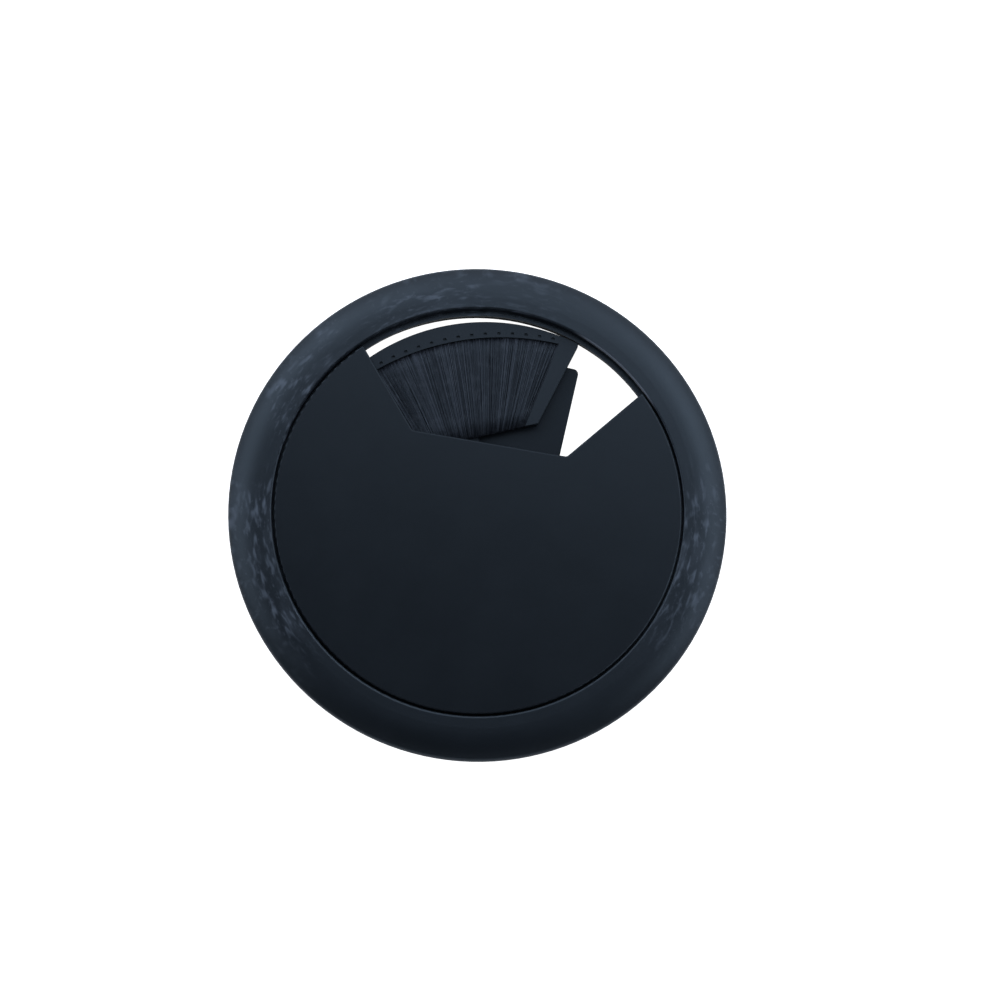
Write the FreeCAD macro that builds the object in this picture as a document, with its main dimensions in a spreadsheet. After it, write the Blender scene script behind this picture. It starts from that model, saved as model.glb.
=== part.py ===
"""A round desk grommet for a cable hole, in millimetres.

A domed flange with a short barrel drops into the desk. A flush cover turns in the flange. The cover has
a flared mouth for cables, and a fan of bristles swings under the cover to close or open that mouth.
Origin: centre of the flange's underside, which is the desk's surface. +Z is up, +Y is the mouth's axis.
"""

import FreeCAD, Part
import math
import os
import re

import Sketcher
from FreeCAD import Placement, Rotation, Vector

SIZES = (
    # the ring that stays in the desk
    ("flange_radius", 45.9, "outer edge of the flange"),
    ("flange_height", 3.0, "top of the flange and of the cover above the desk"),
    ("flat_radius", 40.0, "where the flat top of the flange starts to curve down"),
    ("dome_radius", 9.0, "curve of the flange's top"),
    ("rim_radius", 1.2, "rounding at the flange's outer edge"),
    ("recess_radius", 37.8, "wall around the cover"),
    ("lip_rounding", 0.4, "rounding at the top of that wall"),
    ("ledge_radius", 36.85, "inner edge of the ledge that carries the cover"),
    ("ledge_top", 0.95, "top of the ledge"),
    ("ledge_thick", 1.15, "thickness of the ledge"),
    ("barrel_radius", 39.7, "outside of the barrel, for a hole of radius 40"),
    ("barrel_wall", 1.25, "wall of the barrel"),
    ("barrel_depth", 9.0, "length of the barrel below the desk's surface"),
    ("barrel_lead", 0.6, "chamfer that leads the barrel into the hole"),
    ("grip_count", 12, "crush ribs around the barrel"),
    ("grip_width", 1.2, "width of a crush rib"),
    ("grip_proud", 0.2, "how far a crush rib stands out"),
    ("grip_depth", 5.0, "length of a crush rib below the flange"),
    # the cover
    ("cover_radius", 37.45, "edge of the cover"),
    ("cover_floor", 1.0, "underside of the cover's plate"),
    ("cover_rounding", 0.3, "rounding of the cover's upper edges"),
    ("mouth_inner", 12.77, "straight inner edge of the mouth, from the centre"),
    ("mouth_half", 14.4, "half width of that edge"),
    ("mouth_flare", 39.9, "angle of the mouth's sides from its axis, in degrees"),
    ("mouth_corner", 0.8, "rounding in the mouth's inner corners"),
    ("mouth_past", 40.0, "the mouth's cut runs past the rim to here"),
    ("sink", 0.2, "how far ribs and posts run into the cover's plate"),
    ("post_radius", 3.0, "post that the brush turns on"),
    ("pilot_radius", 1.3, "blind hole for the screw"),
    ("pilot_skin", 1.6, "plate left above that hole"),
    ("hook_right", 25.0, "place of the hook right of the mouth, in degrees from +X"),
    ("hook_left", 175.0, "place of the hook left of the mouth, past the brush's longer end"),
    ("hook_front", 278.0, "place of the hook opposite the mouth"),
    ("hook_sweep", 16.0, "width of a hook, in degrees"),
    ("hook_radius", 36.8, "outer face of a hook"),
    ("hook_thick", 0.6, "thickness of a hook"),
    ("hook_barb", 0.8, "how far a hook's barb stands out under the ledge"),
    ("hook_play", 0.15, "gap between barb and ledge"),
    ("hook_drop", 1.9, "lowest point of a hook below the desk's surface"),
    ("stop_gap", 0.45, "from the brush's side to its stop at the end of the swing"),
    ("stop_thick", 1.2, "thickness of a stop rib"),
    ("stop_near", 22.0, "inner end of a stop rib, along its own line"),
    ("stop_far", 33.0, "outer end of a stop rib"),
    ("stop_drop", 1.0, "lowest point of a stop rib below the desk's surface"),
    ("rib_count", 5, "stiffening ribs on the side that the brush never reaches"),
    ("rib_first", 246.0, "place of the first rib, in degrees from +X"),
    ("rib_span", 112.0, "from the first rib to the last, in degrees"),
    ("rib_near", 7.5, "inner end of a rib"),
    ("rib_far", 34.0, "outer end of a rib"),
    ("rib_thick", 1.0, "thickness of a rib"),
    ("rib_drop", 0.2, "lowest point of a rib below the desk's surface"),
    ("peg_place", 9.0, "the tongue's pegs, sideways and backwards from the centre"),
    ("peg_radius", 1.3, "radius of a peg"),
    ("peg_gap", 0.05, "gap around a peg"),
    # the tongue under the brush
    ("tongue_turn", 3.1, "the tongue's clockwise turn against the mouth, in degrees"),
    ("tongue_half", 12.4, "half width of the tongue"),
    ("tongue_reach", 30.7, "outer end of the tongue"),
    ("tongue_tail", 15.0, "inner end of the tongue, behind the centre"),
    ("tongue_drop", 1.6, "top of the tongue below the desk's surface"),
    ("tongue_thick", 1.2, "thickness of the tongue"),
    ("tongue_corner", 1.0, "rounding of the tongue's corners"),
    ("tongue_rounding", 0.25, "rounding of the tongue's upper edge"),
    # the brush
    ("fan_offset", 3.45, "where the brush's sides would meet, behind the disc's centre"),
    ("brush_radius", 37.6, "outer arc of the brush"),
    ("brush_reach", 35.45, "that arc on the brush's axis, from the disc's centre"),
    ("crown_lean", 1.6, "lean of that arc and of the row of pins, outwards at the right, in degrees"),
    ("brush_flare", 40.1, "angle of the brush's sides from its axis, in degrees"),
    ("brush_trim", 13.85, "where the bristles are cut, from the disc's centre"),
    ("brush_corner", 0.4, "rounding of the brush's outer corners"),
    ("brush_turn", 22.6, "how far the brush is swung open, in degrees"),
    ("swing_full", 96.0, "swing from closed to fully open, in degrees"),
    ("rail_angle", 5.0, "width of a side rail, in degrees where the sides would meet"),
    ("row_radius", 47.2, "arc of the row of pins"),
    ("row_reach", 32.9, "that row on the brush's axis, from the disc's centre"),
    ("row_spread", 27.6, "half the row, in degrees about its own centre"),
    ("row_margin", 0.7, "frame left inside the row"),
    ("tuft_count", 18, "tufts of bristles, one at each pin"),
    ("tuft_gap", 0.08, "gap beside a tuft"),
    ("carrier_drop", 1.2, "underside of the carrier below the desk's surface"),
    ("carrier_thick", 0.7, "thickness of the carrier"),
    ("tuft_thick", 0.9, "thickness of the tufts"),
    ("clamp_thick", 0.4, "thickness of the clamp frame"),
    ("hub_radius", 6.0, "hub of the brush"),
    ("hub_gap", 0.2, "play above and below the hub"),
    ("bore_gap", 0.08, "gap between post and hub"),
    ("arm_half", 3.25, "half width of the arm from the hub to the frame"),
    ("arm_thick", 0.6, "thickness of the arm"),
    ("pin_length", 0.75, "size of a pin along the row"),
    ("pin_width", 0.4, "size of a pin across the row"),
    ("pin_bulge", 0.26, "curve of a pin's rounded ends"),
    ("pin_gap", 0.05, "gap around a pin in the clamp frame"),
    ("pin_recess", 0.35, "top of a pin below the clamp frame's face"),
    # the fastener
    ("washer_radius", 4.0, "edge of the washer"),
    ("washer_hole", 1.5, "hole of the washer"),
    ("washer_thick", 0.5, "thickness of the washer"),
    ("thread_crest", 1.25, "outside of the screw's thread"),
    ("thread_root", 1.0, "root of the screw's thread"),
    ("thread_pitch", 0.8, "pitch of the thread"),
    ("thread_turns", 3, "turns of thread"),
    ("screw_hole", 1.45, "hole for the screw in the tongue"),
    ("head_radius", 2.8, "radius of the screw's head"),
    ("head_height", 1.5, "height of the screw's head"),
    ("head_rounding", 0.7, "rounding of the head"),
    ("cross_width", 0.7, "width of the cross recess"),
    ("cross_half", 1.5, "half length of the cross recess"),
    ("cross_depth", 0.9, "depth of the cross recess"),
)
ALIASES = {alias for alias, _, _ in SIZES}

doc = FreeCAD.newDocument("desk_grommet")
sheet = doc.addObject("Spreadsheet::Sheet", "sizes")
for line, (name, number, note) in enumerate(SIZES, 1):
    sheet.set(f"A{line}", note)
    sheet.set(f"B{line}", str(number))
    sheet.setAlias(f"B{line}", name)
doc.recompute()

parts = []
volumes = {}
GROWS = 1
SHRINKS = -1


# ---- expressions over the sheet -------------------------------------------------------------------------


def linked(text):
    """The expression with each size read from the sheet."""
    return re.sub(r"[a-z_]+", lambda word: f"sizes.{word[0]}" if word[0] in ALIASES else word[0], text)


def value(text):
    """What the expression comes to now."""
    found = sheet.evalExpression(linked(text))
    return float(getattr(found, "Value", found))


def bind(thing, path, text):
    thing.setExpression(path, linked(text))


# ---- sketches -------------------------------------------------------------------------------------------


def new_body(name):
    body = doc.addObject("PartDesign::Body", name)
    body.Label = name
    parts.append(body)
    return body


def new_sketch(body, name, role="XY_Plane", height="0", turn=None, centre=None):
    """A sketch on one of the body's own planes, moved up by height and turned about +Z. A centre, as
    (across, along), takes the place of the body's own."""
    plane = next(found for found in body.Origin.OriginFeatures if found.Role == role)
    sketch = body.newObject("Sketcher::SketchObject", name)
    sketch.AttachmentSupport = (plane, [""])
    sketch.MapMode = "FlatFace"
    up = Vector(0, 0, 1) if role == "XY_Plane" else Vector(0, 1, 0)
    if turn is not None:
        sketch.AttachmentOffset = Placement(Vector(), Rotation(up, value(turn)))
        bind(sketch, "AttachmentOffset.Rotation.Angle", turn)
    if centre is not None:
        bind(sketch, "AttachmentOffset.Base.x", centre[0])
        bind(sketch, "AttachmentOffset.Base.y", centre[1])
    if height != "0":
        bind(sketch, "AttachmentOffset.Base.z", height)
    return sketch


def measure(sketch, constraint, text):
    """Adds a constraint whose size is the expression."""
    index = sketch.addConstraint(Sketcher.Constraint(*constraint, value(text)))
    bind(sketch, f"Constraints[{index}]", text)


def pin_point(sketch, edge, end, across, along):
    """Holds a point at the place (across, along), measured from the sketch's origin."""
    for kind, axis, text in (("DistanceX", -2, across), ("DistanceY", -1, along)):
        here = value(text)
        if abs(here) < 1e-9:
            sketch.addConstraint(Sketcher.Constraint("PointOnObject", edge, end, axis))
        elif here > 0:
            measure(sketch, (kind, -1, 1, edge, end), text)
        else:
            measure(sketch, (kind, edge, end, -1, 1), f"-({text})")


def arc_between(start, finish, bend):
    """The arc from start to finish: its radius is |bend|, and a positive bend turns left."""
    chord = finish - start
    left = Vector(-chord.y, chord.x, 0).normalize()
    rise = math.sqrt(bend**2 - chord.Length**2 / 4)
    centre = (start + finish) * 0.5 + left * math.copysign(rise, bend)
    first, last = (start, finish) if bend > 0 else (finish, start)
    angles = [math.atan2(point.y - centre.y, point.x - centre.x) for point in (first, last)]
    return Part.ArcOfCircle(Part.Circle(centre, Vector(0, 0, 1), abs(bend)), *angles)


def outline(sketch, *corners):
    """A closed outline. A corner is (across, along) or, if the edge after it is an arc, (across, along,
    bend): the arc's radius, negative where it turns right."""
    places = [Vector(value(corner[0]), value(corner[1]), 0) for corner in corners]
    edges = []
    for index, corner in enumerate(corners):
        start = places[index]
        finish = places[(index + 1) % len(places)]
        if len(corner) == 2:
            edge = sketch.addGeometry(Part.LineSegment(start, finish))
            edges.append((edge, 1, 2))
            continue
        bend = value(corner[2])
        edge = sketch.addGeometry(arc_between(start, finish, bend))
        edges.append((edge, 1, 2) if bend > 0 else (edge, 2, 1))
        measure(sketch, ("Radius", edge), corner[2] if bend > 0 else f"-({corner[2]})")
    for index, (edge, start, _) in enumerate(edges):
        before, _, finish = edges[index - 1]
        sketch.addConstraint(Sketcher.Constraint("Coincident", before, finish, edge, start))
        pin_point(sketch, edge, start, corners[index][0], corners[index][1])
    return sketch


def circle(sketch, radius, across="0", along="0"):
    middle = Vector(value(across), value(along), 0)
    edge = sketch.addGeometry(Part.Circle(middle, Vector(0, 0, 1), value(radius)))
    pin_point(sketch, edge, 3, across, along)
    measure(sketch, ("Radius", edge), radius)
    return sketch


def block(sketch, left, right, near, far):
    return outline(sketch, (left, near), (right, near), (right, far), (left, far))


# ---- features -------------------------------------------------------------------------------------------


def settle(body, feature, sign):
    """Makes the feature the body's tip and checks the sign of its change in volume. Zero takes either."""
    body.Tip = feature
    doc.recompute()
    change = feature.Shape.Volume - volumes.get(body.Name, 0.0)
    volumes[body.Name] = feature.Shape.Volume
    wrong = change == 0 or change * sign < 0
    if wrong or "Invalid" in feature.State or "Error" in feature.State:
        raise RuntimeError(f"{body.Label}: {feature.Name} changed the volume by {change:.4f}")
    return feature


def pad(body, sketch, thickness):
    feature = body.newObject("PartDesign::Pad", f"{sketch.Name}_pad")
    feature.Profile = sketch
    bind(feature, "Length", thickness)
    return settle(body, feature, GROWS)


def pocket(body, sketch, depth, upward=False):
    """A cut that goes down from the sketch, or up."""
    feature = body.newObject("PartDesign::Pocket", f"{sketch.Name}_cut")
    feature.Profile = sketch
    feature.Reversed = upward
    bind(feature, "Length", depth)
    return settle(body, feature, SHRINKS)


def revolve(body, sketch, sweep="360"):
    feature = body.newObject("PartDesign::Revolution", f"{sketch.Name}_turned")
    feature.Profile = sketch
    feature.ReferenceAxis = (sketch, ["V_Axis"])
    feature.Midplane = True
    bind(feature, "Angle", sweep)
    return settle(body, feature, GROWS)


def repeat(body, feature, axis, span, count, sign=GROWS, clockwise=False):
    """Copies of a feature around an axis. A span of 360 spreads them evenly all round."""
    pattern = body.newObject("PartDesign::PolarPattern", f"{feature.Name}_row")
    pattern.Originals = [feature]
    pattern.Axis = axis
    pattern.Reversed = clockwise
    bind(pattern, "Angle", span)
    bind(pattern, "Occurrences", count)
    return settle(body, pattern, sign)


def around_z(body):
    axis = next(found for found in body.Origin.OriginFeatures if found.Role == "Z_Axis")
    return (axis, [""])


def upright_at(*places):
    """Picks the upright edges over the given (x, y) places."""

    def wanted(edge):
        ends = [vertex.Point for vertex in edge.Vertexes]
        if len(ends) < 2 or abs(ends[0].x - ends[1].x) + abs(ends[0].y - ends[1].y) > 1e-6:
            return False
        return any(math.hypot(ends[0].x - x, ends[0].y - y) < 1e-3 for x, y in places)

    return wanted


def level_at(height):
    """Picks the edges that lie at one height."""
    return lambda edge: abs(edge.BoundBox.ZMax - height) < 1e-6 and edge.BoundBox.ZLength < 1e-6


def round_off(body, base, radius, wanted):
    names = [f"Edge{index}" for index, edge in enumerate(base.Shape.Edges, 1) if wanted(edge)]
    feature = body.newObject("PartDesign::Fillet", f"{base.Name}_round")
    feature.Base = (base, names)
    bind(feature, "Radius", radius)
    return settle(body, feature, 0)


def swing_open(part):
    """Places a piece of the brush, which is drawn closed, at its swing."""
    part.Placement = Placement(Vector(), Rotation(Vector(0, 0, 1), value("brush_turn")))
    bind(part, "Placement.Rotation.Angle", "brush_turn")


# ---- the ring that stays in the desk --------------------------------------------------------------------

DOME_RUN = "(flange_radius - rim_radius - flat_radius)"
DOME_REST = "(dome_radius - rim_radius)"
DOME_DROP = f"sqrt({DOME_REST} ^ 2 - {DOME_RUN} ^ 2)"
RIM_MIDDLE = f"(flange_height - dome_radius + {DOME_DROP})"


def make_base_ring():
    body = new_body("base_ring")
    section = outline(
        new_sketch(body, "ring_section", "XZ_Plane"),
        ("barrel_radius", "0"),
        ("flange_radius", "0"),
        ("flange_radius", RIM_MIDDLE, "rim_radius"),
        (
            f"flat_radius + dome_radius * {DOME_RUN} / {DOME_REST}",
            f"flange_height - dome_radius + dome_radius * {DOME_DROP} / {DOME_REST}",
            "dome_radius",
        ),
        ("flat_radius", "flange_height"),
        ("recess_radius + lip_rounding", "flange_height", "lip_rounding"),
        ("recess_radius", "flange_height - lip_rounding"),
        ("recess_radius", "ledge_top"),
        ("ledge_radius", "ledge_top"),
        ("ledge_radius", "ledge_top - ledge_thick"),
        ("barrel_radius - barrel_wall", "ledge_top - ledge_thick"),
        ("barrel_radius - barrel_wall", "-barrel_depth"),
        ("barrel_radius - barrel_lead", "-barrel_depth"),
        ("barrel_radius", "-barrel_depth + barrel_lead"),
    )
    revolve(body, section)
    rib = block(
        new_sketch(body, "crush_rib", height="-grip_depth"),
        "barrel_radius - barrel_wall / 2",
        "barrel_radius + grip_proud",
        "-grip_width / 2",
        "grip_width / 2",
    )
    repeat(body, pad(body, rib, "grip_depth"), around_z(body), "360", "grip_count")


# ---- the cover and what is fixed under it ---------------------------------------------------------------


def add_hook(body, place):
    """A snap hook that reaches past the ledge, with a barb that catches under it."""
    section = outline(
        new_sketch(body, f"{place}_section", "XZ_Plane", turn=place),
        ("hook_radius - hook_thick", "cover_floor + sink"),
        ("hook_radius - hook_thick", "-hook_drop"),
        ("hook_radius - hook_thick / 2", "-hook_drop"),
        ("hook_radius + hook_barb", "ledge_top - ledge_thick - hook_play - hook_barb"),
        ("hook_radius + hook_barb", "ledge_top - ledge_thick - hook_play"),
        ("hook_radius", "ledge_top - ledge_thick - hook_play"),
        ("hook_radius", "cover_floor + sink"),
    )
    revolve(body, section, "hook_sweep")


def add_stop(body, name, side, turn):
    """A rib beside the place where one side of the brush ends its swing."""
    face = f"{side} * (fan_offset * sin(brush_flare) + stop_gap)"
    sketch = block(
        new_sketch(body, name, height="-stop_drop", turn=turn),
        face,
        f"{face} + {side} * stop_thick",
        "stop_near",
        "stop_far",
    )
    pad(body, sketch, "stop_drop + cover_floor + sink")


def make_cover_disc():
    body = new_body("cover_disc")
    rim = circle(new_sketch(body, "cover_rim", height="cover_floor"), "cover_radius")
    pad(body, rim, "flange_height - cover_floor")
    past = "(mouth_half + (mouth_past - mouth_inner) * tan(mouth_flare))"
    mouth = outline(
        new_sketch(body, "mouth", height="flange_height"),
        ("-mouth_half", "mouth_inner"),
        ("mouth_half", "mouth_inner"),
        (past, "mouth_past"),
        (f"-{past}", "mouth_past"),
    )
    cut = pocket(body, mouth, "flange_height - cover_floor")
    corner = (value("mouth_half"), value("mouth_inner"))
    cut = round_off(body, cut, "mouth_corner", upright_at(corner, (-corner[0], corner[1])))
    round_off(body, cut, "cover_rounding", level_at(value("flange_height")))
    post = circle(new_sketch(body, "post", height="-tongue_drop"), "post_radius")
    pad(body, post, "tongue_drop + cover_floor + sink")
    pilot = circle(new_sketch(body, "pilot_hole", height="-tongue_drop"), "pilot_radius")
    pocket(body, pilot, "tongue_drop + flange_height - pilot_skin", upward=True)
    for name, side in (("left_peg", "-"), ("right_peg", "")):
        peg = new_sketch(body, name, height="-(tongue_drop + tongue_thick)")
        circle(peg, "peg_radius", f"{side}peg_place", "-peg_place")
        pad(body, peg, "tongue_drop + tongue_thick + cover_floor + sink")
    rib = block(
        new_sketch(body, "stiff_rib", height="-rib_drop", turn="rib_first"),
        "rib_near",
        "rib_far",
        "-rib_thick / 2",
        "rib_thick / 2",
    )
    first = pad(body, rib, "rib_drop + cover_floor + sink")
    repeat(body, first, around_z(body), "rib_span", "rib_count")
    add_stop(body, "closed_stop", "1", "-brush_flare")
    add_stop(body, "open_stop", "-1", "brush_flare + swing_full")
    for place in ("hook_right", "hook_left", "hook_front"):
        add_hook(body, place)


def make_support_tongue():
    """A plate under the brush, screwed to the cover's post, that keeps the brush's hub on the post."""
    body = new_body("support_tongue")
    sketch = block(
        new_sketch(body, "tongue_plate", height="-(tongue_drop + tongue_thick)", turn="-tongue_turn"),
        "-tongue_half",
        "tongue_half",
        "-tongue_tail",
        "tongue_reach",
    )
    plate = pad(body, sketch, "tongue_thick")
    turned = Rotation(Vector(0, 0, 1), -value("tongue_turn"))
    half = value("tongue_half")
    ends = (value("tongue_reach"), -value("tongue_tail"))
    corners = [turned.multVec(Vector(side * half, end, 0)) for side in (-1, 1) for end in ends]
    plate = round_off(body, plate, "tongue_corner", upright_at(*[(at.x, at.y) for at in corners]))
    round_off(body, plate, "tongue_rounding", level_at(-value("tongue_drop")))
    holes = new_sketch(body, "tongue_holes", height="-tongue_drop")
    circle(holes, "screw_hole")
    circle(holes, "peg_radius + peg_gap", "-peg_place", "-peg_place")
    circle(holes, "peg_radius + peg_gap", "peg_place", "-peg_place")
    pocket(body, holes, "tongue_thick")


# ---- the brush ------------------------------------------------------------------------------------------

CROWN_MIDDLE = (
    "(brush_radius * sin(crown_lean))",
    "(brush_reach - brush_radius * cos(crown_lean))",
)
ROW_MIDDLE = (
    "(row_radius * sin(crown_lean))",
    "(row_reach - row_radius * cos(crown_lean))",
)
ROW_PITCH = "(2 * row_spread / tuft_count)"
CLAMP_FLOOR = "(carrier_thick + tuft_thick - carrier_drop)"
TIP_HALF = "((brush_trim + fan_offset) * tan(brush_flare - rail_angle))"


def crown_corner(side):
    """Where the brush's outer arc meets one of its sides. The distance is measured from where the two
    sides would meet."""
    across, along = CROWN_MIDDLE
    along = f"(fan_offset + {along})"
    middle = f"({side} * {across} * sin(brush_flare) + {along} * cos(brush_flare))"
    distance = f"({middle} + sqrt({middle} ^ 2 - {across} ^ 2 - {along} ^ 2 + brush_radius ^ 2))"
    return f"({side} * {distance} * sin(brush_flare))", f"({distance} * cos(brush_flare) - fan_offset)"


def row_end(side):
    """The end of the frame's inner arc, which runs along the row of pins."""
    turn = f"(row_spread - {side} * crown_lean)"
    radius = "(row_radius - row_margin)"
    across, along = ROW_MIDDLE
    return f"({across} + {side} * {radius} * sin({turn}))", f"({along} + {radius} * cos({turn}))"


def frame_outline(sketch):
    """The arched frame around the bristles: a crescent over their roots and a rail down each side."""
    side = "((brush_trim + fan_offset) * tan(brush_flare))"
    return outline(
        sketch,
        (side, "brush_trim"),
        (*crown_corner("1"), "brush_radius"),
        crown_corner("-1"),
        (f"-{side}", "brush_trim"),
        (f"-{TIP_HALF}", "brush_trim"),
        (*row_end("-1"), "-(row_radius - row_margin)"),
        row_end("1"),
        (TIP_HALF, "brush_trim"),
    )


def frame_pad(body, name, floor, thickness):
    feature = pad(body, frame_outline(new_sketch(body, name, height=floor)), thickness)
    corners = [tuple(value(text) for text in crown_corner(side)) for side in ("-1", "1")]
    return round_off(body, feature, "brush_corner", upright_at(*corners))


def pin_sketch(body, name, height, gap):
    """The first pin of the row, an oval at the row's left end, drawn about the row's centre."""
    first_place = f"row_spread + crown_lean - {ROW_PITCH} / 2"
    sketch = new_sketch(body, name, height=height, turn=first_place, centre=ROW_MIDDLE)
    flat = f"((pin_length - pin_width) / 2 + {gap} / 2)"
    low = f"row_radius - pin_width / 2 - {gap}"
    high = f"row_radius + pin_width / 2 + {gap}"
    return outline(
        sketch,
        (f"-{flat}", low),
        (flat, low, f"pin_bulge + {gap}"),
        (flat, high),
        (f"-{flat}", high, f"pin_bulge + {gap}"),
    )


def repeat_along_row(body, feature, sketch, sign):
    span = f"{ROW_PITCH} * (tuft_count - 1)"
    repeat(body, feature, (sketch, ["N_Axis"]), span, "tuft_count", sign, clockwise=True)


def make_brush_carrier():
    """The lower half of the brush's frame, with the hub, the arm under the bristles and the pins."""
    body = new_body("brush_carrier")
    frame_pad(body, "carrier_frame", "-carrier_drop", "carrier_thick")
    arm = block(
        new_sketch(body, "arm", height="-carrier_drop"),
        "-arm_half",
        "arm_half",
        "0",
        "row_reach",
    )
    pad(body, arm, "arm_thick")
    hub = circle(new_sketch(body, "hub", height="-(tongue_drop - hub_gap)"), "hub_radius")
    pad(body, hub, "tongue_drop + cover_floor - 2 * hub_gap")
    bore = circle(new_sketch(body, "bore", height="cover_floor - hub_gap"), "post_radius + bore_gap")
    pocket(body, bore, "tongue_drop + cover_floor - 2 * hub_gap")
    sketch = pin_sketch(body, "pin", "-carrier_drop", "0")
    first = pad(body, sketch, f"carrier_drop + {CLAMP_FLOOR} + clamp_thick - pin_recess")
    repeat_along_row(body, first, sketch, GROWS)
    swing_open(body)


def make_brush_clamp():
    """The upper half of the brush's frame, pressed over the pins."""
    body = new_body("brush_clamp")
    frame_pad(body, "clamp_frame", CLAMP_FLOOR, "clamp_thick")
    sketch = pin_sketch(body, "pin_hole", f"{CLAMP_FLOOR} + clamp_thick", "pin_gap")
    repeat_along_row(body, pocket(body, sketch, "clamp_thick"), sketch, SHRINKS)
    swing_open(body)


def make_bristle_tufts():
    """One flat tapering block for each tuft, from its pin to the straight cut. Each block tapers at its
    own angle, so the blocks are extruded one by one."""
    count = int(value("tuft_count"))
    root = value("row_radius - pin_width / 2 - pin_gap")
    middle = [value(text) for text in ROW_MIDDLE]
    gap = value("tuft_gap")
    tip_half = value(TIP_HALF)
    spread, lean = (math.radians(value(size)) for size in ("row_spread", "crown_lean"))
    floor = value("carrier_thick - carrier_drop")

    def ends(share, inset):
        """Root and tip of the line at this share of the fan's width, moved sideways by the inset."""
        turn = spread * (2 * share - 1) - lean
        top = Vector(middle[0] + root * math.sin(turn) + inset, middle[1] + root * math.cos(turn), floor)
        tip = Vector(tip_half * (2 * share - 1) + inset, value("brush_trim"), floor)
        return top, tip

    blocks = []
    for index in range(count):
        left_top, left_tip = ends(index / count, gap)
        right_top, right_tip = ends((index + 1) / count, -gap)
        face = Part.Face(Part.makePolygon([left_top, left_tip, right_tip, right_top, left_top]))
        blocks.append(face.extrude(Vector(0, 0, value("tuft_thick"))))
    tufts = doc.addObject("Part::Feature", "bristle_tufts")
    tufts.Label = "bristle_tufts"
    tufts.Shape = Part.makeCompound(blocks)
    parts.append(tufts)
    swing_open(tufts)


# ---- the fastener ---------------------------------------------------------------------------------------

WASHER_FLOOR = "(-(tongue_drop + tongue_thick + washer_thick))"


def make_pivot_washer():
    body = new_body("pivot_washer")
    edge = circle(new_sketch(body, "washer_face", height=WASHER_FLOOR), "washer_radius")
    circle(edge, "washer_hole")
    pad(body, edge, "washer_thick")


def make_pivot_screw():
    """A pan-head screw that enters the post from below. Its thread is drawn as plain rings."""
    body = new_body("pivot_screw")
    under = f"{WASHER_FLOOR} - head_height"
    corners = [
        ("0", under),
        ("head_radius - head_rounding", under, "head_rounding"),
        ("head_radius", f"{under} + head_rounding"),
        ("head_radius", WASHER_FLOOR),
        ("thread_root", WASHER_FLOOR),
    ]
    thread_start = "(-tongue_drop)"
    for turn in range(int(value("thread_turns"))):
        corners.append(("thread_root", f"{thread_start} + {turn + 0.25} * thread_pitch"))
        corners.append(("thread_crest", f"{thread_start} + {turn + 0.5} * thread_pitch"))
        corners.append(("thread_root", f"{thread_start} + {turn + 0.75} * thread_pitch"))
    corners.append(("0", f"{thread_start} + thread_turns * thread_pitch"))
    revolve(body, outline(new_sketch(body, "screw_section", "XZ_Plane"), *corners))
    narrow = "cross_width / 2"
    for name, across, along in (("slot_x", "cross_half", narrow), ("slot_y", narrow, "cross_half")):
        slot = new_sketch(body, name, height=under)
        block(slot, f"-{across}", across, f"-{along}", along)
        pocket(body, slot, "cross_depth", upward=True)


# ---- build, check, write --------------------------------------------------------------------------------


def check_all():
    doc.recompute()
    for thing in doc.Objects:
        if "Invalid" in thing.State or "Error" in thing.State:
            raise RuntimeError(f"{thing.Name} is {thing.State}")
    for part in parts:
        shape = part.Shape
        if shape.isNull() or not shape.isValid() or not shape.Solids:
            raise RuntimeError(f"{part.Label} has no valid solid")


def write_all():
    os.makedirs("parts", exist_ok=True)
    for part in parts:
        part.Shape.exportStep(f"parts/{part.Label}.step")
        print(f"{part.Label}: {len(part.Shape.Solids)} solids, {part.Shape.Volume:.1f} mm3")


make_base_ring()
make_cover_disc()
make_support_tongue()
make_brush_carrier()
make_brush_clamp()
make_bristle_tufts()
make_pivot_washer()
make_pivot_screw()
check_all()
write_all()
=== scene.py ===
"""Looks for the desk grommet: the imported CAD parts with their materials, and a fan of real bristles."""

import math
import random

import bpy
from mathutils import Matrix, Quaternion, Vector


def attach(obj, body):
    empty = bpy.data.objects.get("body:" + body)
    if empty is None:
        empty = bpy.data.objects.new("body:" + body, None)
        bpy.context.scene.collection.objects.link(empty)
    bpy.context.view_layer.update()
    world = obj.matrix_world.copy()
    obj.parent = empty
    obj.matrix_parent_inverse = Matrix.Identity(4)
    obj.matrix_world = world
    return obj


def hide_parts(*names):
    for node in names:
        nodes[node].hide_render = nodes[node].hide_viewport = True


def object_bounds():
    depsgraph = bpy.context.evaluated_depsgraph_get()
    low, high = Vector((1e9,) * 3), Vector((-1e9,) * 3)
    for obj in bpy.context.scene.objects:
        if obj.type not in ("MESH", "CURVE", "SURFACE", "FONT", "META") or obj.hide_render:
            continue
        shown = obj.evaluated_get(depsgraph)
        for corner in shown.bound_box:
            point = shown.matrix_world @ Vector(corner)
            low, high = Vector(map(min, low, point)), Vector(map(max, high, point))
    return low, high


MM = 0.001
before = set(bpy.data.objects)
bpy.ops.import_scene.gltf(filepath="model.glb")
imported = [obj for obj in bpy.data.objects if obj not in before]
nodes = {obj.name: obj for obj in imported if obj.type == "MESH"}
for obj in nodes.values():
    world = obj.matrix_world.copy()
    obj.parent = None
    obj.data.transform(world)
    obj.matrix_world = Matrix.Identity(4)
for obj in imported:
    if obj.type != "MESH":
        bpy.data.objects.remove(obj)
cad_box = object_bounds()


# ---------------------------------------------------------------- shader building

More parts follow.
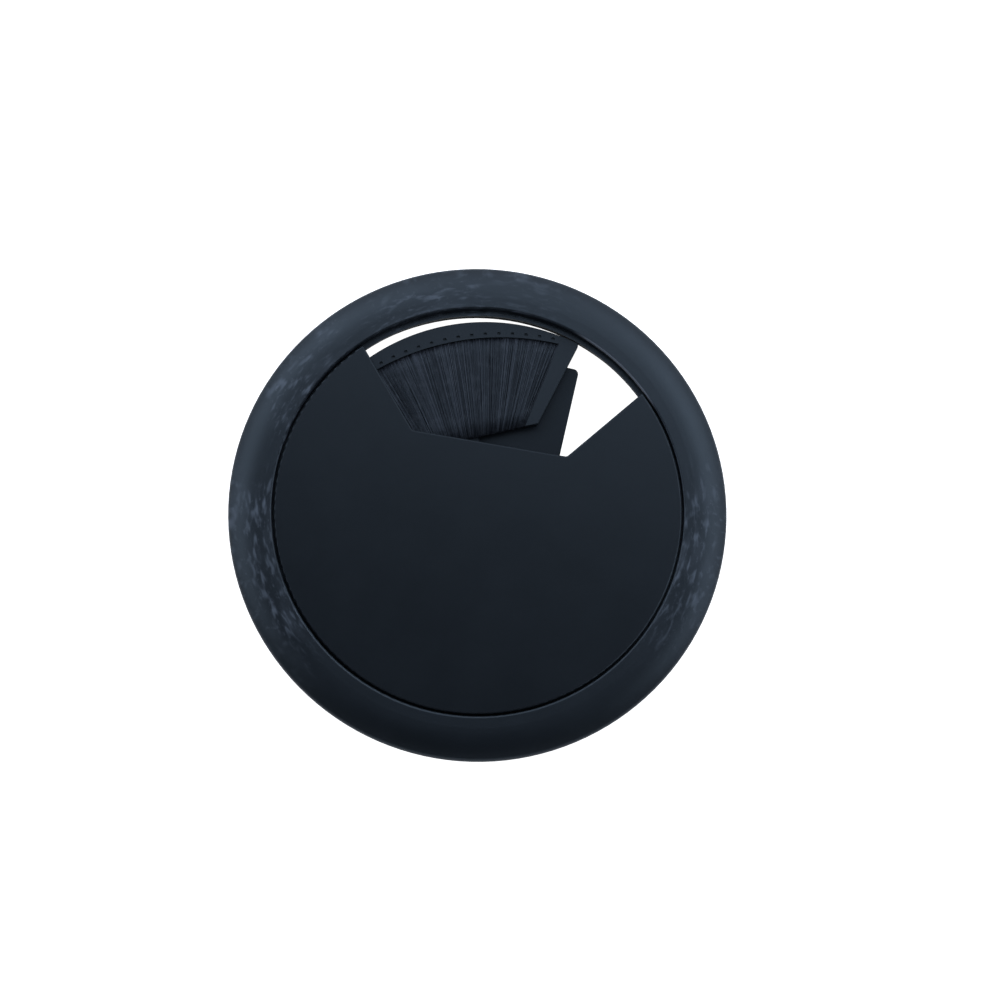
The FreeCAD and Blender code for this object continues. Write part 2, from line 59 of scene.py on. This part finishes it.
class Shader:
    """A material's node tree, built a node at a time. An input may be a number, a colour or a socket."""

    def __init__(self, name):
        self.material = bpy.data.materials.new(name)
        self.material.use_nodes = True
        self.tree = self.material.node_tree
        self.tree.nodes.clear()

    def add(self, kind, settings=None, **inputs):
        node = self.tree.nodes.new(kind)
        for key, value in (settings or {}).items():
            setattr(node, key, value)
        for key, value in inputs.items():
            self.feed(node.inputs[key.replace("_", " ")], value)
        return node

    def feed(self, socket, value):
        if isinstance(value, bpy.types.NodeSocket):
            self.tree.links.new(value, socket)
        else:
            socket.default_value = value

    def math(self, operation, *values, clamp=False):
        node = self.add("ShaderNodeMath", {"operation": operation, "use_clamp": clamp})
        for socket, value in zip(node.inputs, values):
            self.feed(socket, value)
        return node.outputs[0]

    def vector(self, operation, *values, output="Vector"):
        node = self.add("ShaderNodeVectorMath", {"operation": operation})
        for socket, value in zip(node.inputs, values):
            self.feed(socket, value)
        return node.outputs[output]

    def place(self):
        """The point on the piece, in metres, fixed to the piece."""
        return self.add("ShaderNodeTexCoord").outputs["Object"]

    def noise(self, vector, scale, detail=3.0, rough=0.5, shift=0.0):
        """Smooth noise from 0 to 1; shift picks another stretch of it."""
        moved = self.vector("ADD", vector, (shift, shift * 0.7, shift * 1.3))
        node = self.add("ShaderNodeTexNoise", Vector=moved, Scale=scale, Detail=detail, Roughness=rough)
        return node.outputs["Fac"]

    def rise(self, value, low, high):
        """0 below low, 1 above high, smooth in between."""
        node = self.add("ShaderNodeMapRange", {"interpolation_type": "SMOOTHSTEP"}, Value=value)
        node.inputs["From Min"].default_value = low
        node.inputs["From Max"].default_value = high
        return node.outputs["Result"]

    def fall(self, value, low, high):
        """1 below low, 0 above high, smooth in between."""
        return self.math("SUBTRACT", 1.0, self.rise(value, low, high))

    def blend(self, share, first, second):
        """The colour first where share is 0 and second where it is 1."""
        node = self.add("ShaderNodeMix", {"data_type": "RGBA"})
        self.feed(node.inputs["Factor"], share)
        for socket, value in zip([s for s in node.inputs if s.type == "RGBA"], (first, second)):
            self.feed(socket, value)
        return [s for s in node.outputs if s.type == "RGBA"][0]

    def between(self, share, low, high):
        """The number low where share is 0 and high where it is 1."""
        return self.math("MULTIPLY_ADD", share, high - low, low)

    def bump(self, height, distance, strength):
        node = self.add("ShaderNodeBump", Height=height, Distance=distance, Strength=strength)
        return node.outputs["Normal"]

    def finish(self, **inputs):
        """Closes the tree with one Principled surface and gives the material."""
        surface = self.add("ShaderNodeBsdfPrincipled")
        for key, value in inputs.items():
            self.feed(surface.inputs[key.replace("_", " ")], value)
        end = self.add("ShaderNodeOutputMaterial")
        self.tree.links.new(surface.outputs[0], end.inputs["Surface"])
        return self.material


def colour(red, green, blue):
    return (red, green, blue, 1.0)


def level_radius(s):
    """The distance from the disc's axis."""
    return s.vector("LENGTH", s.vector("MULTIPLY", s.place(), (1, 1, 0)), output="Value")


def height(s):
    """The height above the desk's surface."""
    return s.add("ShaderNodeSeparateXYZ", Vector=s.place()).outputs["Z"]


def facing(s, angle):
    """1 in this level direction from the disc's middle, in degrees from +X, and 0 at right angles to it."""
    outward = s.vector("NORMALIZE", s.place())
    towards = (math.cos(math.radians(angle)), math.sin(math.radians(angle)), 0)
    return s.vector("DOT_PRODUCT", outward, towards, output="Value")


RING_MIDDLE = 41.5 * MM


def around_disc(s, along, across):
    """A coordinate without a seam that follows the ring: along and across are patches per metre there."""
    turn = s.vector("SCALE", s.vector("NORMALIZE", s.vector("MULTIPLY", s.place(), (1, 1, 0))))
    turn.node.inputs["Scale"].default_value = RING_MIDDLE * along
    lift = s.math("MULTIPLY", s.math("ADD", level_radius(s), height(s)), across)
    joined = s.add("ShaderNodeCombineXYZ", Z=lift).outputs[0]
    return s.vector("ADD", turn, joined)


def moulded(s, grain, depth, strength):
    """The fine even grain of a textured mould, with a slower unevenness under it."""
    place = s.place()
    fine = s.noise(place, grain, detail=2.0, rough=0.6)
    slow = s.noise(place, grain / 14, detail=2.0)
    return s.bump(s.math("MULTIPLY_ADD", slow, 0.6, fine), depth, strength)


# ---------------------------------------------------------------- materials

SHEEN = colour(0.72, 0.89, 1.0)

# Directions from the disc's middle, in degrees from +X. The front of the ring and a stretch beside the mouth
# are still clean.
UNRUBBED = (50, 260, 282, 302)
# The direction, in degrees from +X, of the stretch of the lip that gets a painted highlight.
LIP_HIGHLIGHT_FACING = 56

# Levels and radii between which one look of the base ring turns into another.
DESK_LINE = (-0.4 * MM, 0.8 * MM)
LIP_BOTTOM = (2.25 * MM, 2.50 * MM)
LIP_OUTSIDE = (37.95 * MM, 38.20 * MM)
BARREL_WALL = (38.9 * MM, 39.3 * MM)


def rub_marks(s):
    """Soft marks that follow the ring: streaks, fine specks and a faint bloom, in loose patches."""
    streaks = s.rise(s.noise(around_disc(s, 330, 1400), 1.0, detail=1.5, shift=1.0), 0.50, 0.82)
    specks = s.rise(s.noise(around_disc(s, 900, 1900), 1.0, detail=2.0, rough=0.6, shift=9.0), 0.54, 0.80)
    bloom = s.rise(s.noise(around_disc(s, 130, 420), 1.0, detail=2.0, shift=3.0), 0.45, 0.75)
    patches = s.rise(s.noise(s.place(), 62, detail=2.0, shift=5.0), 0.36, 0.60)
    marks = s.math("MULTIPLY_ADD", specks, 0.45, streaks)
    marks = s.math("MULTIPLY_ADD", bloom, 0.20, marks, clamp=True)
    marks = s.math("MULTIPLY", marks, patches)
    for angle in UNRUBBED:
        marks = s.math("MULTIPLY", marks, s.fall(facing(s, angle), 0.74, 0.94))
    return marks


def painted_lip_highlight(s):
    """A painted highlight: a pale band on the stretch of the recess's lip beside the mouth, where its
    rounding would catch light.
    """
    stretch = s.rise(facing(s, LIP_HIGHLIGHT_FACING), 0.955, 0.985)
    edge = s.math("MULTIPLY", s.rise(height(s), *LIP_BOTTOM), s.fall(level_radius(s), *LIP_OUTSIDE))
    return s.math("MULTIPLY", stretch, edge)


def base_plastic():
    """Black plastic with a soft sheen, rubbed pale above the desk, duller inside the barrel, and with a
    painted highlight on one stretch of the recess's lip.
    """
    s = Shader("base_plastic")
    above_desk = s.rise(height(s), *DESK_LINE)
    marks = s.math("MULTIPLY", rub_marks(s), above_desk)
    haze = s.noise(around_disc(s, 160, 420), 1.0, detail=3.0, shift=6.0)
    black = s.blend(haze, colour(0.0050, 0.0068, 0.0092), colour(0.0100, 0.0130, 0.0170))
    skin = s.blend(s.math("MULTIPLY", marks, 0.54), black, colour(0.130, 0.155, 0.190))
    # Painted highlight: a pale band on the lip's rounding beside the mouth, standing in for light caught
    # there.
    skin = s.blend(painted_lip_highlight(s), skin, colour(0.135, 0.152, 0.175))
    glossy = s.math("MAXIMUM", above_desk, s.rise(level_radius(s), *BARREL_WALL))
    return s.finish(
        Base_Color=skin,
        Roughness=s.math("SUBTRACT", s.between(marks, 0.82, 0.96), s.math("MULTIPLY", glossy, 0.40)),
        Normal=moulded(s, 2600, 0.020 * MM, 0.5),
        Specular_IOR_Level=s.between(glossy, 0.12, 0.5),
        Specular_Tint=SHEEN,
    )


def cover_plastic():
    """Smooth matte black plastic with a very fine grain."""
    s = Shader("cover_plastic")
    place = s.place()
    cloud = s.noise(place, 60, detail=4.0, shift=2.0)
    skin = s.blend(cloud, colour(0.0030, 0.0040, 0.0056), colour(0.0055, 0.0072, 0.0096))
    return s.finish(
        Base_Color=skin,
        Roughness=s.between(s.noise(place, 160, detail=4.0, shift=8.0), 0.36, 0.44),
        Normal=moulded(s, 3000, 0.016 * MM, 0.5),
        Specular_IOR_Level=0.42,
        Specular_Tint=SHEEN,
    )


def tongue_plastic():
    """Black plastic sheet, slightly glossier, with faint lines along its length."""
    s = Shader("tongue_plastic")
    drawn = s.vector("MULTIPLY", s.place(), (1, 0.08, 1))
    lines = s.noise(drawn, 2600, detail=3.0)
    cloud = s.noise(s.place(), 60, detail=3.0, shift=5.0)
    skin = s.blend(cloud, colour(0.0030, 0.0040, 0.0056), colour(0.0055, 0.0072, 0.0096))
    return s.finish(
        Base_Color=skin,
        Roughness=s.between(lines, 0.38, 0.48),
        Normal=s.bump(lines, 0.010 * MM, 0.4),
        Specular_IOR_Level=0.32,
        Specular_Tint=SHEEN,
    )


def brush_plastic():
    """The brush's moulded frame."""
    s = Shader("brush_plastic")
    place = s.place()
    cloud = s.noise(place, 90, detail=3.0, shift=3.0)
    skin = s.blend(cloud, colour(0.0045, 0.0060, 0.0080), colour(0.0080, 0.0100, 0.0130))
    return s.finish(
        Base_Color=skin,
        Roughness=s.between(s.noise(place, 220, detail=3.0, shift=7.0), 0.42, 0.54),
        Normal=moulded(s, 3400, 0.016 * MM, 0.5),
        Specular_IOR_Level=0.42,
        Specular_Tint=SHEEN,
    )


def bristle_nylon():
    """Drawn nylon: each bristle has its own shade and gloss, and is paler where it is scratched."""
    s = Shader("bristle_nylon")
    own = s.add("ShaderNodeNewGeometry").outputs["Random Per Island"]
    worn = s.rise(s.noise(s.place(), 900, detail=3.0), 0.45, 0.75)
    pale = s.math("POWER", own, 2.5)
    skin = s.blend(pale, colour(0.009, 0.011, 0.015), colour(0.042, 0.049, 0.061))
    skin = s.blend(s.math("MULTIPLY", worn, 0.25), skin, colour(0.070, 0.080, 0.093))
    return s.finish(
        Base_Color=skin,
        Roughness=s.between(own, 0.46, 0.62),
        Normal=s.bump(s.noise(s.place(), 6000, detail=2.0), 0.006 * MM, 0.4),
        Specular_IOR_Level=0.4,
        Specular_Tint=SHEEN,
    )


def screw_steel():
    """Zinc-plated steel with turning marks round the axis."""
    s = Shader("screw_steel")
    rings = s.noise(s.add("ShaderNodeCombineXYZ", X=level_radius(s)).outputs[0], 9000)
    cloud = s.noise(s.place(), 900, detail=4.0)
    skin = s.blend(cloud, colour(0.46, 0.47, 0.48), colour(0.62, 0.62, 0.61))
    return s.finish(
        Base_Color=skin,
        Metallic=1.0,
        Roughness=s.between(cloud, 0.24, 0.42),
        Normal=s.bump(rings, 0.010 * MM, 0.5),
    )


# The finish of each carried-over CAD node.
FINISHES = {
    "base_ring": base_plastic(),
    "cover_disc": cover_plastic(),
    "support_tongue": tongue_plastic(),
    "brush_carrier": brush_plastic(),
    "pivot_screw": screw_steel(),
}
FINISHES["brush_clamp"] = FINISHES["brush_carrier"]
FINISHES["pivot_washer"] = FINISHES["pivot_screw"]

for name, finish in FINISHES.items():
    for material_slot in nodes[name].material_slots:
        material_slot.material = finish


# ---------------------------------------------------------------- bristles

# Bristles across and above one another in each tuft, and the shape of one.
BRISTLE_WIDE = 14
BRISTLE_DEEP = 6
BRISTLE_RADIUS = 0.095 * MM
BRISTLE_TAPER = 0.3
BRISTLE_SIDES = 6
BRISTLE_STEPS = 7

# How unevenly they lie, in widths of their tuft. TIP_PAST is how far a tip may pass its tuft's corner.
TUFT_SPREAD = 1.18
TUFT_LEAN = 0.04
TIP_WANDER = 0.14
TIP_PAST = 0.09

# The same in spaces between two bristles.
ROOT_WANDER = 0.3
ROOT_LEVEL_WANDER = 0.25
TIP_LEVEL_WANDER = 0.5

# The most that a bristle is cut short, as a share of its length, and bowed sideways, down or up.
MOST_SHORT = 0.012
BOW_MM = 0.12
SAG_MM = 0.05
RISE_MM = 0.12

# Corner points in the CAD mesh of one tuft block.
TUFT_CORNERS = 24


def tuft_corners():
    """The four corners of each tuft block seen from above, roots first, and its lowest and highest level."""
    points = [v.co.copy() for v in nodes["bristle_tufts"].data.vertices]
    for first in range(0, len(points), TUFT_CORNERS):
        block = points[first:first + TUFT_CORNERS]
        levels = [p.z for p in block]
        seen = {(round(p.x, 7), round(p.y, 7)) for p in block}
        flat = sorted((Vector((x, y, 0)) for x, y in seen), key=lambda p: -p.length)
        roots = sorted(flat[:2], key=lambda p: math.atan2(p.y, p.x))
        tips = sorted(flat[2:], key=lambda p: math.atan2(p.y, p.x))
        yield roots, tips, min(levels), max(levels)


def tube(points, radii, verts, faces):
    """Adds one closed round bristle along the points."""
    start = len(verts)
    for step, (point, radius) in enumerate(zip(points, radii)):
        ahead = points[min(step + 1, len(points) - 1)] - points[max(step - 1, 0)]
        side = ahead.cross(Vector((0, 0, 1))).normalized()
        up = side.cross(ahead).normalized()
        for k in range(BRISTLE_SIDES):
            angle = 2 * math.pi * k / BRISTLE_SIDES
            verts.append(point + radius * (math.cos(angle) * side + math.sin(angle) * up))
    for step in range(len(points) - 1):
        low = start + step * BRISTLE_SIDES
        for k in range(BRISTLE_SIDES):
            after = (k + 1) % BRISTLE_SIDES
            faces.append((low + k, low + after, low + BRISTLE_SIDES + after, low + BRISTLE_SIDES + k))
    last = start + (len(points) - 1) * BRISTLE_SIDES
    faces.append(tuple(start + k for k in reversed(range(BRISTLE_SIDES))))
    faces.append(tuple(last + k for k in range(BRISTLE_SIDES)))


def bristle_ends(chance, tuft, lean, row, column):
    """The root and the tip of one bristle of a tuft. Every other row is shifted by half a space."""
    roots, tips, low, high = tuft
    stagger = 0.25 + 0.5 * (row % 2)
    share = (column + stagger + chance.uniform(-ROOT_WANDER, ROOT_WANDER)) / BRISTLE_WIDE
    across = TUFT_SPREAD * (share - 0.5) + 0.5
    at_tip = across + lean + chance.uniform(-TIP_WANDER, TIP_WANDER)
    at_tip = min(max(at_tip, -TIP_PAST), 1 + TIP_PAST)
    layer = (high - low) / BRISTLE_DEEP
    level = low + layer * (row + 0.5 + chance.uniform(-ROOT_LEVEL_WANDER, ROOT_LEVEL_WANDER))
    tip_level = low + layer * (row + 0.5 + chance.uniform(-TIP_LEVEL_WANDER, TIP_LEVEL_WANDER))
    root = roots[0].lerp(roots[1], across) + Vector((0, 0, level))
    tip = tips[0].lerp(tips[1], at_tip) + Vector((0, 0, tip_level))
    return root, tip.lerp(root, chance.uniform(0.0, MOST_SHORT))


def bristle_curve(chance, root, tip):
    """Points from root to tip on a slightly bowed, tapering bristle, with the radius at each."""
    side = (tip - root).cross(Vector((0, 0, 1))).normalized()
    bow = chance.uniform(-BOW_MM, BOW_MM) * MM
    rise = chance.uniform(-SAG_MM, RISE_MM) * MM
    points, radii = [], []
    for step in range(BRISTLE_STEPS):
        t = step / (BRISTLE_STEPS - 1)
        curve = math.sin(math.pi * t)
        points.append(root.lerp(tip, t) + side * bow * curve + Vector((0, 0, rise * curve)))
        radii.append(BRISTLE_RADIUS * (1.0 - BRISTLE_TAPER * t))
    return points, radii


def make_bristles():
    """Separate bristles in the place of the CAD's tuft blocks."""
    chance = random.Random(41)
    verts, faces = [], []
    for tuft in tuft_corners():
        lean = chance.uniform(-TUFT_LEAN, TUFT_LEAN)
        for row in range(BRISTLE_DEEP):
            for column in range(BRISTLE_WIDE):
                root, tip = bristle_ends(chance, tuft, lean, row, column)
                points, radii = bristle_curve(chance, root, tip)
                tube(points, radii, verts, faces)
    mesh = bpy.data.meshes.new("bristles")
    mesh.from_pydata(verts, [], faces)
    mesh.validate()
    mesh.shade_smooth()
    piece = bpy.data.objects.new("bristles", mesh)
    bpy.context.scene.collection.objects.link(piece)
    mesh.materials.append(bristle_nylon())
    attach(piece, "brush")
    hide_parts("bristle_tufts")


make_bristles()


# ---------------------------------------------------------------- floor, light and camera

# The camera looks almost straight down. Aside and above shift its aim in the picture, away from the middle
# of the disc's top.
CAMERA_AZIMUTH = math.radians(0.54)
CAMERA_ELEVATION = math.radians(80.99)
CAMERA_ROLL = math.radians(9.23)
CAMERA_DISTANCE = 0.700
CAMERA_LENS = 137.44
CAMERA_ASIDE = 4.03 * MM
CAMERA_ABOVE = 1.96 * MM
CAMERA_SENSOR = 36
CAMERA_NEAR = 0.01

FLOOR_HALF = 3.0

# The floor's glow as the object gets it and as the camera sees it, and the world's fill on the object.
FLOOR_GLOW = (0.3, 1.1)
FILL = 0.04

# Azimuth and elevation in degrees, distance, width and height in metres, power in watts.
COOL = (0.77, 0.84, 1.0)
LIGHTS = (
    ("overhead", 163, 58, 0.20, 0.30, 0.12, 0.155),
    ("back", 180, 28, 0.45, 0.60, 0.24, 0.66),
    ("right", 102, 34, 0.40, 0.58, 0.26, 0.95),
    ("left", -112, 34, 0.40, 0.54, 0.26, 0.85),
    ("front", 0, 7, 0.45, 0.50, 0.10, 0.16),
)


def direction(azimuth, elevation):
    """The unit vector from the object towards a camera or light there; azimuth 0 is in front, at -Y."""
    return Vector((
        math.sin(azimuth) * math.cos(elevation),
        -math.cos(azimuth) * math.cos(elevation),
        math.sin(elevation),
    ))


def make_camera():
    back = direction(CAMERA_AZIMUTH, CAMERA_ELEVATION)
    turn = (-back).to_track_quat("-Z", "Y") @ Quaternion((0, 0, 1), CAMERA_ROLL)
    right = turn @ Vector((1, 0, 0))
    above = turn @ Vector((0, 1, 0))
    aim = Vector((0, 0, cad_box[1].z)) + right * CAMERA_ASIDE + above * CAMERA_ABOVE
    camera = bpy.data.objects.new("camera", bpy.data.cameras.new("camera"))
    camera.data.lens = CAMERA_LENS
    camera.data.sensor_width = CAMERA_SENSOR
    camera.data.clip_start = CAMERA_NEAR
    camera.location = aim + back * CAMERA_DISTANCE
    camera.rotation_mode = "QUATERNION"
    camera.rotation_quaternion = turn
    bpy.context.scene.collection.objects.link(camera)
    bpy.context.scene.camera = camera


def make_light(name, azimuth, elevation, distance, wide, high, power):
    """A soft box facing the object. Its azimuth is as the picture shows it: 0 below, 90 right, 180 above."""
    light = bpy.data.lights.new(name, "AREA")
    light.shape = "RECTANGLE"
    light.size = wide
    light.size_y = high
    light.energy = power
    light.color = COOL
    lamp = bpy.data.objects.new(name, light)
    towards = direction(CAMERA_AZIMUTH + CAMERA_ROLL + math.radians(azimuth), math.radians(elevation))
    lamp.location = towards * distance
    lamp.rotation_mode = "QUATERNION"
    lamp.rotation_quaternion = (-towards).to_track_quat("-Z", "Y")
    bpy.context.scene.collection.objects.link(lamp)


def make_floor():
    """A plain white sheet, lit from below like a light table so that it shows white through the mouth."""
    level = cad_box[0].z
    corners = [(x * FLOOR_HALF, y * FLOOR_HALF, level) for x, y in ((-1, -1), (1, -1), (1, 1), (-1, 1))]
    mesh = bpy.data.meshes.new("floor")
    mesh.from_pydata(corners, [], [(0, 1, 2, 3)])
    floor = bpy.data.objects.new("floor", mesh)
    bpy.context.scene.collection.objects.link(floor)
    s = Shader("floor")
    seen = s.add("ShaderNodeLightPath").outputs["Is Camera Ray"]
    glow = s.between(seen, *FLOOR_GLOW)
    sheet = s.add("ShaderNodeBsdfDiffuse", Color=colour(0.8, 0.8, 0.8))
    lit = s.add("ShaderNodeEmission", Color=colour(1, 1, 1), Strength=glow)
    both = s.add("ShaderNodeAddShader")
    s.feed(both.inputs[0], sheet.outputs[0])
    s.feed(both.inputs[1], lit.outputs[0])
    end = s.add("ShaderNodeOutputMaterial")
    s.feed(end.inputs["Surface"], both.outputs[0])
    mesh.materials.append(s.material)


def make_world():
    """A faint even fill on the object, with plain white behind it."""
    world = bpy.data.worlds.new("studio")
    world.use_nodes = True
    tree = world.node_tree
    tree.nodes.clear()
    path = tree.nodes.new("ShaderNodeLightPath")
    seen = tree.nodes.new("ShaderNodeBackground")
    seen.inputs["Color"].default_value = colour(1, 1, 1)
    seen.inputs["Strength"].default_value = 1.0
    fill = tree.nodes.new("ShaderNodeBackground")
    fill.inputs["Color"].default_value = colour(0.93, 0.97, 1.0)
    fill.inputs["Strength"].default_value = FILL
    mix = tree.nodes.new("ShaderNodeMixShader")
    end = tree.nodes.new("ShaderNodeOutputWorld")
    tree.links.new(path.outputs["Is Camera Ray"], mix.inputs[0])
    tree.links.new(fill.outputs[0], mix.inputs[1])
    tree.links.new(seen.outputs[0], mix.inputs[2])
    tree.links.new(mix.outputs[0], end.inputs["Surface"])
    bpy.context.scene.world = world


make_floor()
make_world()
for light in LIGHTS:
    make_light(*light)
make_camera()
bpy.context.scene.view_settings.view_transform = "Standard"
